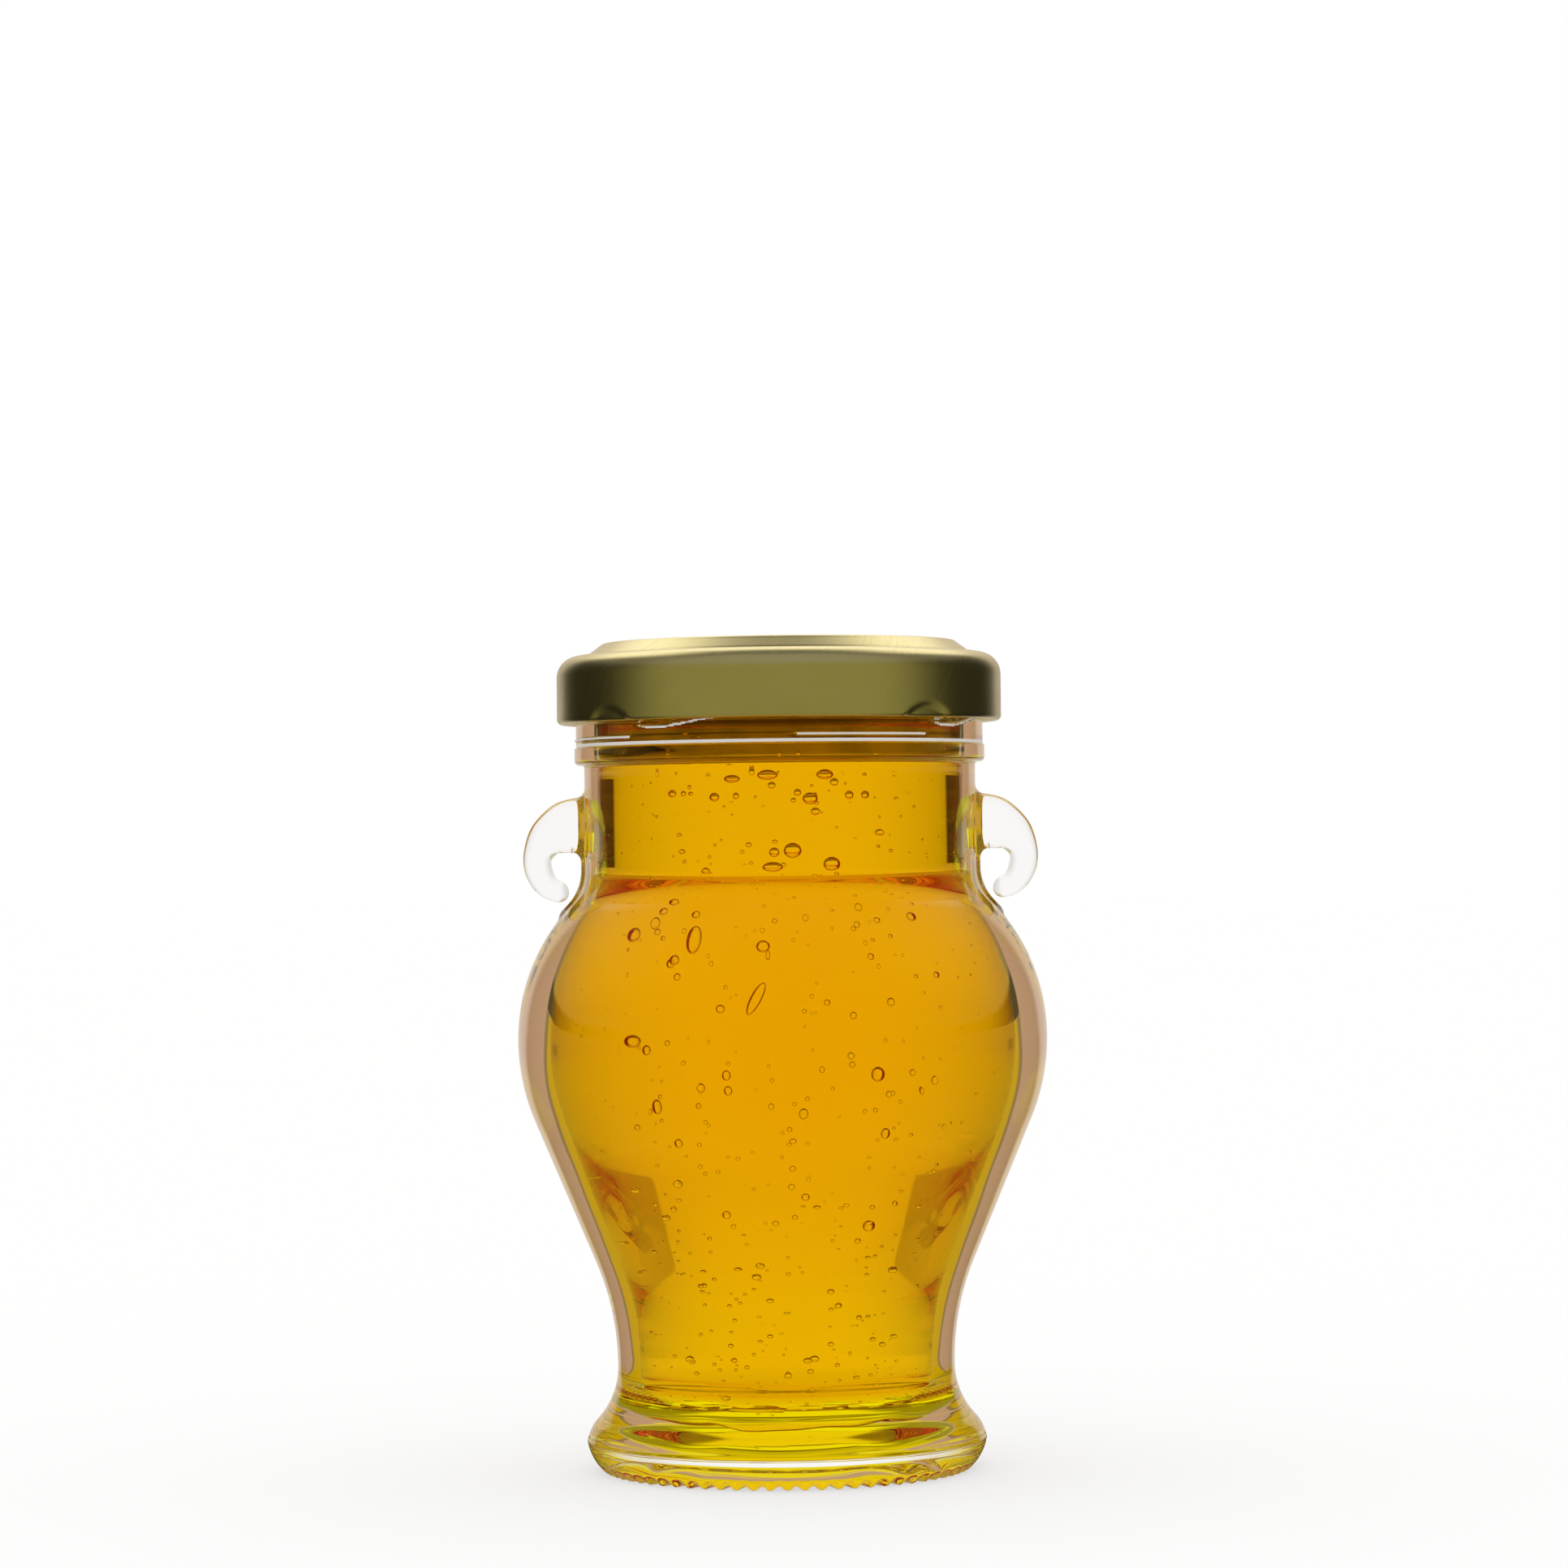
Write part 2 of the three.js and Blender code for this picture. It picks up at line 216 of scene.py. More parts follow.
def placed(theta, r, z):
    return np.column_stack([r * np.cos(theta), r * np.sin(theta), z])


def piece(name, points, faces, materials, slots=None):
    mesh = bpy.data.meshes.new(name)
    mesh.from_pydata((np.asarray(points) * MM).tolist(), [], faces)
    for look in materials:
        mesh.materials.append(look)
    mesh.polygons.foreach_set("use_smooth", [True] * len(faces))
    if slots is not None:
        mesh.polygons.foreach_set("material_index", slots)
    mesh.validate()
    mesh.update()
    obj = bpy.data.objects.new(name, mesh)
    bpy.context.collection.objects.link(obj)
    return obj


# Node trees
class Nodes:
    """A node tree with short calls for the nodes that the looks use."""

    def __init__(self, owner):
        owner.use_nodes = True
        self.tree = owner.node_tree
        self.tree.nodes.clear()

    def add(self, kind, **values):
        node = self.tree.nodes.new(kind)
        for name, value in values.items():
            setattr(node, name, value)
        return node

    def put(self, socket, value):
        if isinstance(value, bpy.types.NodeSocket):
            self.tree.links.new(value, socket)
        else:
            socket.default_value = value

    def math(self, operation, *values, clamp=False):
        node = self.add("ShaderNodeMath", operation=operation, use_clamp=clamp)
        for socket, value in zip(node.inputs, values):
            self.put(socket, value)
        return node.outputs[0]

    def product(self, first, *others):
        for other in others:
            first = self.math("MULTIPLY", first, other)
        return first

    def radius(self, x, y):
        squares = self.math("ADD", self.product(x, x), self.product(y, y))
        return self.math("SQRT", squares)

    def ramp(self, value, low, high, to_low=0.0, to_high=1.0):
        node = self.add("ShaderNodeMapRange", interpolation_type="SMOOTHSTEP")
        for socket, v in zip(node.inputs, (value, low, high, to_low, to_high)):
            self.put(socket, v)
        return node.outputs[0]

    def mix(self, factor, a, b):
        node = self.add("ShaderNodeMix", data_type="RGBA")
        for socket, v in zip((node.inputs[0], node.inputs[6], node.inputs[7]), (factor, a, b)):
            self.put(socket, v)
        return node.outputs[2]

    def place(self):
        return self.add("ShaderNodeTexCoord").outputs["Object"]

    def attribute(self, name):
        return self.add("ShaderNodeAttribute", attribute_name=name).outputs["Fac"]

    def noise(self, vector, scale, detail=2.0):
        node = self.add("ShaderNodeTexNoise")
        self.put(node.inputs["Vector"], vector)
        node.inputs["Scale"].default_value = scale
        node.inputs["Detail"].default_value = detail
        return node.outputs["Fac"]

    def bump(self, height, strength, distance):
        node = self.add("ShaderNodeBump")
        node.inputs["Strength"].default_value = strength
        node.inputs["Distance"].default_value = distance
        self.put(node.inputs["Height"], height)
        return node.outputs["Normal"]

    def principled(self, **values):
        node = self.add("ShaderNodeBsdfPrincipled")
        for name, value in values.items():
            self.put(node.inputs[name.replace("_", " ")], value)
        return node.outputs[0]

    def combine(self, x, y, z):
        node = self.add("ShaderNodeCombineXYZ")
        for socket, value in zip(node.inputs, (x, y, z)):
            self.put(socket, value)
        return node.outputs[0]

    def split(self, vector):
        node = self.add("ShaderNodeSeparateXYZ")
        self.put(node.inputs[0], vector)
        return node.outputs


def material(name):
    made = bpy.data.materials.new(name)
    nodes = Nodes(made)
    return made, nodes, nodes.add("ShaderNodeOutputMaterial").inputs


# Looks: two tones are the ends of a noise's range
WHITE = (1, 1, 1, 1)
GLASS_IOR, WET_IOR, HONEY_IOR = 1.52, 1.02, 1.49
GLASS_TONES = ((0.93, 0.915, 0.9, 1), (0.96, 0.95, 0.94, 1))
# Near-white frost of the mould's edge lines is a painted highlight
PAINTED_HIGHLIGHT_TONES = ((0.78, 0.76, 0.73, 1), (0.86, 0.85, 0.83, 1))
HONEY_TONES = ((0.9, 0.67, 0.02, 1), (0.94, 0.7, 0.03, 1))
# Painted shade of the honey's top band under the lid, in mottled browns
LID_SHADE_TONES, LID_SHADE_RANGE = ((0.12, 0.07, 0.015, 1), (0.29, 0.16, 0.03, 1)), (0.35, 0.65)
GOLD_TONES = ((0.6, 0.5, 0.21, 1), (0.68, 0.58, 0.28, 1))
SEAL_TONES = ((0.76, 0.7, 0.56, 1), (0.85, 0.8, 0.67, 1))
GLASS_SHINE, HONEY_SHINE = (0.06, 0.06, 0.06, 1), (0.1, 0.1, 0.1, 1)
HONEY_COLOUR, HONEY_DENSITY = (0.9993, 0.9802, 0.0, 1), 460.0
BRUSH_COS, BRUSH_SIN, BRUSH_ALONG, BRUSH_ACROSS = 0.5, 0.87, 160.0, 2400.0
BRUSH_RANGE, BRUSH_ROUGHNESS = (0.25, 0.75), (0.27, 0.34)
SEAL_RANGE, SEAL_ROUGHNESS = (0.3, 0.7), (0.5, 0.65)


def glass_look(name, ior):
    made, n, out = material(name)
    place = n.place()
    wave = n.noise(place, scale=90.0, detail=1.0)
    surface = n.principled(
        Base_Color=n.mix(n.noise(place, scale=30.0), *GLASS_TONES),
        Roughness=0.0,
        IOR=ior,
        Transmission_Weight=1.0,
        Specular_Tint=GLASS_SHINE,
        Normal=n.bump(wave, strength=0.12, distance=0.0004),
    )
    n.put(out["Surface"], surface)
    return made


def painted_highlight_look():
    """Whitish, rough glass on the mould's edge lines, as a painted highlight."""
    made, n, out = material("painted_highlight_glass")
    surface = n.principled(
        Base_Color=n.mix(n.noise(n.place(), scale=200.0), *PAINTED_HIGHLIGHT_TONES),
        Roughness=0.3,
        IOR=GLASS_IOR,
        Transmission_Weight=0.15,
    )
    n.put(out["Surface"], surface)
    return made


def honey_look():
    """Clear amber, with painted shade under the lid: a mottled dark brown band at the top.

    Its IOR is 1 where the honey wets the glass, whose own surface bends the light there.
    """
    made, n, out = material("amber_honey")
    place = n.place()
    free, tinted = n.attribute("free"), n.attribute("tinted")
    amber = n.mix(n.noise(place, scale=60.0), *HONEY_TONES)
    # Painted shade under the lid: the top band turns mottled brown
    lid_shade = n.mix(n.ramp(n.noise(place, scale=160.0, detail=3.0), *LID_SHADE_RANGE), *LID_SHADE_TONES)
    amber = n.mix(n.math("SUBTRACT", tinted, 1.0, clamp=True), amber, lid_shade)
    surface = n.principled(
        Base_Color=n.mix(tinted, WHITE, amber),
        Roughness=0.0,
        IOR=n.math("MULTIPLY_ADD", free, HONEY_IOR - 1, 1.0),
        Transmission_Weight=1.0,
        Specular_Tint=HONEY_SHINE,
    )
    n.put(out["Surface"], surface)
    absorb = n.add("ShaderNodeVolumeAbsorption")
    absorb.inputs["Color"].default_value = HONEY_COLOUR
    absorb.inputs["Density"].default_value = HONEY_DENSITY
    n.put(out["Volume"], absorb.outputs[0])
    return made


def lacquer_look():
    """Gold lacquer over brushed tinplate, with slanting brush marks round the skirt."""
    made, n, out = material("gold_lacquer")
    x, y, z = n.split(n.place())
    round_it = n.product(n.math("ARCTAN2", x, n.product(y, -1.0)), LID_R * MM)
    up_it = n.math("SUBTRACT", z, n.radius(x, y))
    along = n.math("ADD", n.product(round_it, BRUSH_COS), n.product(up_it, BRUSH_SIN))
    across = n.math("SUBTRACT", n.product(round_it, BRUSH_SIN), n.product(up_it, BRUSH_COS))
    slanted = n.combine(n.product(along, BRUSH_ALONG), n.product(across, BRUSH_ACROSS), 0.0)
    marks = n.noise(slanted, scale=1.0, detail=3.0)
    cloud = n.noise(n.combine(x, y, z), scale=120.0, detail=3.0)
    surface = n.principled(
        Base_Color=n.mix(cloud, *GOLD_TONES),
        Metallic=1.0,
        Roughness=n.ramp(marks, *BRUSH_RANGE, *BRUSH_ROUGHNESS),
        Normal=n.bump(marks, strength=0.12, distance=0.00002),
    )
    n.put(out["Surface"], surface)
    return made


def seal_look():
    made, n, out = material("seal_compound")
    place = n.place()
    surface = n.principled(
        Base_Color=n.mix(n.noise(place, scale=400.0, detail=3.0), *SEAL_TONES),
        Roughness=n.ramp(n.noise(place, scale=900.0), *SEAL_RANGE, *SEAL_ROUGHNESS),
    )
    n.put(out["Surface"], surface)
    return made


# Surroundings as they show through the jar and in mirrors
FLOOR_TONES = ((0.94, 0.94, 0.94, 1), (0.95, 0.95, 0.95, 1))
WALL_SIDE = (0.8, 0.8, 0.78, 1)
FLAG = (0.04, 0.035, 0.02, 1)
CORNER = (0.6, 0.57, 0.4, 1)
ROOM_BEHIND = (0.78, 0.71, 0.65, 1)
ROOM_BESIDE = (0.03, 0.03, 0.02, 1)
ROOM_IN_FRONT = (0.37, 0.37, 0.185, 1)

# Colours of the light that comes back out of the glass and the honey
BOUNCED = (0.55, 0.33, 0.18, 1)
BOUNCED_LOW = (0.78, 0.62, 0.02, 1)
BOUNCED_DEEP = (0.58, 0.56, 0.04, 1)
BOUNCED_FAR = (0.4, 0.27, 0.08, 1)
BOUNCED_SIDE = (0.62, 0.37, 0.0, 1)
LEMON = (0.86, 0.68, 0.01, 1)
LEMON_DEEP = (1.0, 1.0, 0.02, 1)
AMBER = (0.36, 0.32, 0.2, 1)
BROWN = (0.26, 0.18, 0.0, 1)
DARK_LINE = (0.3, 0.2, 0.06, 1)
DARK_NECK = (0.06, 0.05, 0.01, 1)
DARK_NECK_DEEP = (0.05, 0.04, 0.0, 1)
FRONT_LOW = (0.4, 0.33, 0.1, 1)
FRONT_HIGH = (0.75, 1.0, 0.02, 1)

# Where a tone starts and where it is full, in degrees of turn from straight behind the jar
WALL_SIDE_TURN = (8.0, 44.0)
ROOM_BEHIND_TURN, ROOM_IN_FRONT_TURN = (36.0, 28.0), (80.0, 125.0)
EDGE_TURN, SIDE_TURN = (41.5, 43.0), (45.0, 47.0)
FLAG_TURN, FLAG_END_TURN = (44.0, 46.0), (62.0, 70.0)
CORNER_TURN, CORNER_END_TURN = (25.2, 26.2), (75.0, 60.0)
CEILING_TURN = (115.0, 80.0)
LEMON_TURN, AMBER_TURN, DARK_NECK_TURN = (30.0, 25.0), (15.0, 23.0), (28.0, 34.0)
FRONT_TURN = (100.0, 120.0)

# The same in degrees of rise over the level, where the neck sees only the level
LEVEL_RISE = (2.4, 1.5)
LEMON_RISE, FRONT_RISE = (3.0, 6.0), (10.0, 20.0)
CORNER_RISE, CORNER_END_RISE = (24.6, 25.5), (62.0, 50.0)
CEILING_RISE = (24.0, 38.0)
CEILING_LESS_RISE, CEILING_LEVELS = (10.0, -2.0), (0.2, 1.75)
OVERHEAD_RISE, OVERHEAD_LEVELS = (70.0, 52.0), (0.1, 1.0)
FRONT_CEILING_RISE, FRONT_CEILING_LEVELS = (88.0, 76.0), (0.14, 0.4)

# The same in metres on the floor from the jar's axis
POOL_R, WALL_R, FAR_R = (0.06, 0.035), (0.1, 0.5), (0.3, 0.9)

# Light Path's depths of light that is in the glass, was thrown back or is in the honey, and shares of white
IN_GLASS, THROWN_BACK, IN_HONEY = 0.5, 0.5, 3.5
FLOOR_WHITE, DIFFUSE_LIFT = 0.6, 0.08


def degrees_from_back(n, x, y):
    """Angle of a direction from straight behind the jar, 0 to 180."""
    return n.product(n.math("ARCTAN2", n.math("ABSOLUTE", x), y), RADIAN)


def fall_off(n, turn):
    """The white wall behind the jar, a little dimmer to the sides."""
    return n.mix(n.ramp(turn, *WALL_SIDE_TURN), WHITE, WALL_SIDE)


def room_tone(n, turn, path):
    """What mirrors see level with the jar: a white wall behind, dark beside it, a dim room in front."""
    inside = n.math("GREATER_THAN", path["Transmission Depth"], IN_GLASS)
    front = n.mix(n.ramp(turn, *ROOM_IN_FRONT_TURN), ROOM_BESIDE, ROOM_IN_FRONT)
    front = n.mix(inside, front, BOUNCED)
    return n.mix(n.ramp(turn, *ROOM_BEHIND_TURN), front, ROOM_BEHIND)


def bounces(n, path):
    """Light that the glass itself throws back, then light that is thrown back inside the honey, as 0 or 1."""
    back = n.math("GREATER_THAN", path["Glossy Depth"], THROWN_BACK)
    deep = n.math("GREATER_THAN", path["Transmission Depth"], IN_HONEY)
    return n.product(back, n.math("SUBTRACT", 1.0, deep)), n.product(back, deep)


def beside_edge(n, turn, tone):
    """The tone of the glass wall, then a dark line where the honey starts, then the honey's own tone."""
    dark = n.mix(n.ramp(turn, *EDGE_TURN), tone, DARK_LINE)
    return n.mix(n.ramp(turn, *SIDE_TURN), dark, BOUNCED_SIDE)


def floor_look():
    """White, but tinted for light that comes to it out of the glass or the honey."""
    made, n, out = material("floor")
    place = n.place()
    tone = n.mix(n.noise(place, scale=3.0), *FLOOR_TONES)
    lit = n.principled(Base_Color=tone, Roughness=1.0, Specular_IOR_Level=0.0)
    path = n.add("ShaderNodeLightPath").outputs
    through = path["Is Transmission Ray"]
    x, y = n.split(place)[:2]
    turn, radius = degrees_from_back(n, x, y), n.radius(x, y)
    near = n.ramp(radius, *POOL_R)
    pool = n.product(near, through)
    wall = n.mix(through, WHITE, fall_off(n, turn))
    bounced = beside_edge(n, turn, n.mix(near, BOUNCED, BOUNCED_LOW))
    mirrored = n.mix(through, room_tone(n, turn, path), bounced)
    bounced_deep = n.mix(n.ramp(radius, *FAR_R), BOUNCED_DEEP, BOUNCED_FAR)
    back, deep = bounces(n, path)
    colour = n.mix(back, n.mix(pool, wall, LEMON), mirrored)
    glow = n.add("ShaderNodeEmission")
    n.put(glow.inputs["Color"], n.mix(deep, colour, n.mix(near, bounced_deep, LEMON)))
    share = n.product(through, n.math("MAXIMUM", pool, n.ramp(radius, *WALL_R)))
    share = n.math("MAXIMUM", n.product(path["Is Camera Ray"], FLOOR_WHITE), share)
    share = n.math("MAXIMUM", share, n.math("MAXIMUM", back, deep))
    blend = n.add("ShaderNodeMixShader")
    for socket, value in zip(blend.inputs, (share, lit, glow.outputs[0])):
        n.put(socket, value)
    n.put(out["Surface"], blend.outputs[0])
    return made


def seen_through(n, turn, rise, path):
    """What shows through the jar: the wall, flags beside it at the neck's level and a dim upper corner."""
    in_honey = n.math("GREATER_THAN", path["Transmission Depth"], IN_HONEY)
    beside = n.product(n.ramp(turn, *FLAG_TURN), n.ramp(rise, *LEVEL_RISE), in_honey)
    flag = n.mix(n.ramp(turn, *FLAG_END_TURN), FLAG, WHITE)
    corner = n.product(n.ramp(turn, *CORNER_TURN), n.ramp(turn, *CORNER_END_TURN))
    corner = n.product(corner, n.ramp(rise, *CORNER_RISE), n.ramp(rise, *CORNER_END_RISE))
    return n.mix(corner, n.mix(beside, fall_off(n, turn), flag), CORNER)


def seen_in_mirrors(n, turn, rise, path):
    """The room, and over it a ceiling that is light behind the jar, and dim overhead and in front."""
    ceiling = n.ramp(n.math("SUBTRACT", turn, rise), *CEILING_LESS_RISE, *CEILING_LEVELS)
    ceiling = n.product(ceiling, n.ramp(rise, *OVERHEAD_RISE, *OVERHEAD_LEVELS))
    front = n.ramp(rise, *FRONT_CEILING_RISE, *FRONT_CEILING_LEVELS)
    level = n.ramp(turn, *CEILING_TURN, front, ceiling)
    return n.mix(n.ramp(rise, *CEILING_RISE), room_tone(n, turn, path), n.combine(level, level, level))


def thrown_by_glass(n, turn, rise):
    """Tones of the glass wall, lemon from low behind the jar and dark beside the neck."""
    lemon = n.product(n.ramp(turn, *LEMON_TURN), n.ramp(rise, *LEMON_RISE))
    beside = n.product(n.ramp(turn, *EDGE_TURN), n.ramp(turn, *FLAG_END_TURN[::-1]))
    at_neck = n.product(beside, n.ramp(rise, *LEVEL_RISE))
    return n.mix(at_neck, n.mix(lemon, beside_edge(n, turn, BOUNCED), LEMON), DARK_NECK)


def thrown_by_honey(n, turn, rise):
    """Brown and lemon from behind the jar, amber from its sides, dark beside the neck, yellow in front."""
    behind = n.mix(n.ramp(rise, *LEMON_RISE), BROWN, LEMON_DEEP)
    thrown = n.mix(n.ramp(turn, *AMBER_TURN), behind, AMBER)
    at_neck = n.product(n.ramp(turn, *DARK_NECK_TURN), n.ramp(rise, *LEVEL_RISE))
    front = n.mix(n.ramp(rise, *FRONT_RISE), FRONT_LOW, FRONT_HIGH)
    return n.mix(n.ramp(turn, *FRONT_TURN), n.mix(at_neck, thrown, DARK_NECK_DEEP), front)


def studio():
    """A world that is white to the camera and to plain surfaces, and toned to glass, honey and gold."""
    world = bpy.context.scene.world or bpy.data.worlds.new("studio")
    bpy.context.scene.world = world
    n = Nodes(world)
    x, y, z = n.split(n.add("ShaderNodeTexCoord").outputs["Generated"])
    turn = degrees_from_back(n, x, y)
    rise = n.product(n.math("ARCSINE", z), RADIAN)
    path = n.add("ShaderNodeLightPath").outputs
    back, deep = bounces(n, path)
    seen = n.mix(back, seen_through(n, turn, rise, path), thrown_by_glass(n, turn, rise))
    seen = n.mix(deep, seen, thrown_by_honey(n, turn, rise))
    colour = n.mix(path["Is Transmission Ray"], seen_in_mirrors(n, turn, rise, path), seen)
    plain = n.math("MAXIMUM", path["Is Camera Ray"], path["Is Diffuse Ray"])
    light = n.add("ShaderNodeBackground")
    n.put(light.inputs["Color"], n.mix(plain, colour, WHITE))
    n.put(light.inputs["Strength"], n.math("MULTIPLY_ADD", path["Is Diffuse Ray"], DIFFUSE_LIFT, 1.0))
    n.put(n.add("ShaderNodeOutputWorld").inputs["Surface"], light.outputs[0])


# Glass jar: a turned body whose rows carry the knurl, the thread ridges and the ribs under the ears
SEGMENTS = 300
ROW_STEP, HEEL_STEP, NECK_STEP, BEAD_STEP, FINISH_STEP = 0.8, 0.35, 0.6, 0.7, 0.14
HEEL_ROWS, NECK_ROWS = 15, 20
PUSH_UP_SLOPE = ((10.0, PUSH_UP * 0.75), (18.6, 0.35))
KNURL_TEETH, KNURL_HEIGHT, KNURL_SHARPNESS = 68, 0.6, 1.5
KNURL_R, KNURL_Z = (18.9, 19.7), (1.3, 0.3)
HEEL_LINE_Z, HEEL_LINE_HEIGHT, HEEL_LINE_WIDTH = 3.9, 0.1, 0.25
RIB_HEIGHT, RIB_WIDTH, RIB_R = 0.55, 2.4, 26.0
RIB_LOW_Z, RIB_HIGH_Z = (69.0, 70.2), (83.0, 78.0)
BEAD_FILLET, BEAD_START_OUT, BEAD_START_DOWN = 0.45, 0.02, 0.5
BEAD_TOP_ROUND, BEAD_TOP_DOWN, BEAD_TOP_ANGLE = 0.3, 0.4, 80
LEDGE_LINE_Z, LEDGE_HALF_HEIGHT, LEDGE_EDGE, LEDGE_DEPTH = 91.65, 0.12, 0.1, 0.2
LEDGE_FROM, LEDGE_TO = 47.0, 86.0
# Half heights and reach of the painted highlight lines on the bead, the ledge and the thread noses
PAINTED_HIGHLIGHT_HALF_HEIGHT = 0.14
NOSE_LINE, UNDER_NOSE_HALF_HEIGHT, OVER_NOSE_HALF_HEIGHT = 26.0, 0.12, 0.15
DRY, WET, PAINTED_HIGHLIGHT = 0, 1, 2

# Ears: half sizes across and along the neck at the root, halfway and at the tip, then places along the path
EAR_FILLET, EAR_SQUARENESS = 1.2, 3.0
EAR_HALF_STEPS, EAR_LOW_ROW, EAR_ROWS = 10, 1, 17
EAR_ROOT_Y, EAR_ROOT_Z, EAR_SIDE_Y, EAR_SIDE_Z, EAR_TIP_Z, EAR_CAP = 3.2, 3.45, 2.3, 1.75, 1.3, 1.25
EAR_BEFORE, EAR_AFTER = (-1.0, 0.02), (0.2, -8.3)
EAR_FROM, EAR_FLAT_AT, EAR_SIDE_AT = 0.03, 0.2, 0.55
EAR_FILLET_RINGS, EAR_PATH_RINGS, EAR_CAP_STEPS = 7, 46, 9


def ear_angle(theta):
    """Angle from the nearer ear."""
    return np.abs((theta + math.pi / 2) % math.pi - math.pi / 2)


def rib(theta, z):
    """Raised seam that runs down from each ear's root."""
    side = ear_angle(theta) * RIB_R / RIB_WIDTH
    across = np.exp(-(side**4))
    return RIB_HEIGHT * across * smooth(z, *RIB_LOW_Z) * smooth(z, *RIB_HIGH_Z)


def ridges(theta, z):
    """Height of the thread ridges and the short ledges over the finish."""
    height = np.zeros_like(z)
    for start in range(THREAD_STARTS):
        turn = (from_front(theta) - NOSE_AZIMUTH - QUARTER * start) % 360
        ends = np.minimum(turn, THREAD_SPAN - turn)
        grown = np.sqrt(np.clip(ends / THREAD_TAPER, 0, 1))
        off = np.abs(z - NOSE_Z - THREAD_LEAD * turn / 360)
        flank = np.maximum(grown, SAME_POINT) * (THREAD_BASE - THREAD_CREST) / 2
        crest = smooth((THREAD_BASE * grown / 2 - off) / flank, 0, 1)
        height = np.maximum(height, THREAD_DEPTH * grown * crest)
    turn = (from_front(theta) - NOSE_AZIMUTH) % QUARTER
    ledge = smooth(LEDGE_HALF_HEIGHT + LEDGE_EDGE - np.abs(z - LEDGE_LINE_Z), 0, LEDGE_EDGE)
    ends = smooth(turn, LEDGE_FROM - 1, LEDGE_FROM) * smooth(turn, LEDGE_TO + 1, LEDGE_TO)
    return np.maximum(height, LEDGE_DEPTH * ledge * ends)


def on_painted_highlight(theta, z):
    """Whether a spot carries the painted highlight of an edge line: the bead's upper edge, the ledge over it
    or a thread's nose.
    """
    turn = (from_front(theta) - NOSE_AZIMUTH) % QUARTER
    on_ledge = abs(z - LEDGE_LINE_Z) < PAINTED_HIGHLIGHT_HALF_HEIGHT and LEDGE_FROM < turn < LEDGE_TO
    centre = NOSE_Z + THREAD_LEAD * turn / 360
    half = THREAD_BASE / 2 * math.sqrt(min(1.0, turn / THREAD_TAPER))
    under_nose = abs(z - centre + half) < UNDER_NOSE_HALF_HEIGHT and turn < NOSE_LINE
    over_nose = abs(z - centre - half) < OVER_NOSE_HALF_HEIGHT and turn < THREAD_TAPER
    return on_ledge or under_nose or over_nose or abs(z - FINISH_Z) < PAINTED_HIGHLIGHT_HALF_HEIGHT


def glass_outline():
    """Rows of the body from under the floor, up the outside, over the rim and down the inside.

    With them come the row where the neck starts and the row where the inside starts.
    """
    heel = []
    for i in range(HEEL_ROWS):
        a = math.pi / 2 * i / HEEL_ROWS
        out, down = math.sin(a) ** (2 / HEEL_FULLNESS), math.cos(a) ** (2 / HEEL_FULLNESS)
        heel.append((STANDING_R + (FOOT_R - STANDING_R) * out, FOOT_Z * (1 - down)))
    under = [(MIDDLE_R, PUSH_UP), *PUSH_UP_SLOPE, (STANDING_R - STANDING_WIDTH, 0.0)]
    rows = filled(under, ROW_STEP)

    def extend(points, longest):
        rows.extend(filled([rows[-1], *points], longest)[1:])

    extend(heel, HEEL_STEP)
    extend(double_bend((FOOT_R, FOOT_Z), (WAIST_R, WAIST_Z), HEEL_BEND), ROW_STEP)
    extend(double_bend((WAIST_R, WAIST_Z), (BELLY_R, BELLY_Z), LOWER_BEND), ROW_STEP)
    extend(double_bend((BELLY_R, BELLY_Z), (NECK_R, SHOULDER_Z), UPPER_BEND), ROW_STEP)
    neck_row = len(rows) - 1
    rows += [(NECK_R, SHOULDER_Z + NECK_STEP * (i + 1)) for i in range(NECK_ROWS)]
    bead = [(NECK_R + BEAD_START_OUT, BEAD_Z - BEAD_START_DOWN)]
    bead += arc(NECK_R + BEAD_FILLET, BEAD_Z - BEAD_FILLET, BEAD_FILLET, 180, 90)
    bead += arc(BEAD_R - BEAD_ROUND, BEAD_Z + BEAD_ROUND, BEAD_ROUND, -90, 0)
    bead += arc(BEAD_R - BEAD_TOP_ROUND, FINISH_Z - BEAD_TOP_DOWN, BEAD_TOP_ROUND, 0, BEAD_TOP_ANGLE)
    extend([*bead, (FINISH_R, FINISH_Z)], BEAD_STEP)
    extend([(FINISH_R, RIM_Z - RIM_ROUND)], FINISH_STEP)
    rows += arc(FINISH_R - RIM_ROUND, RIM_Z - RIM_ROUND, RIM_ROUND, 0, 90)[1:]
    rows += arc(BORE_R + RIM_ROUND, RIM_Z - RIM_ROUND, RIM_ROUND, 90, 180)
    inside_row = len(rows)
    inner = filled(cavity(0, RIM_Z - RIM_ROUND), ROW_STEP)[1:]
    return rows + inner[::-1][1:], neck_row, inside_row


def ear_edge(low, high):
    """Vertices round the opening for an ear between two rows, as (row, segments from the ear's middle)."""
    steps = EAR_HALF_STEPS
    edge = [(i, steps) for i in range(low, high)] + [(high, s) for s in range(steps, -steps, -1)]
    return edge + [(i, -steps) for i in range(high, low, -1)] + [(low, s) for s in range(-steps, steps)]


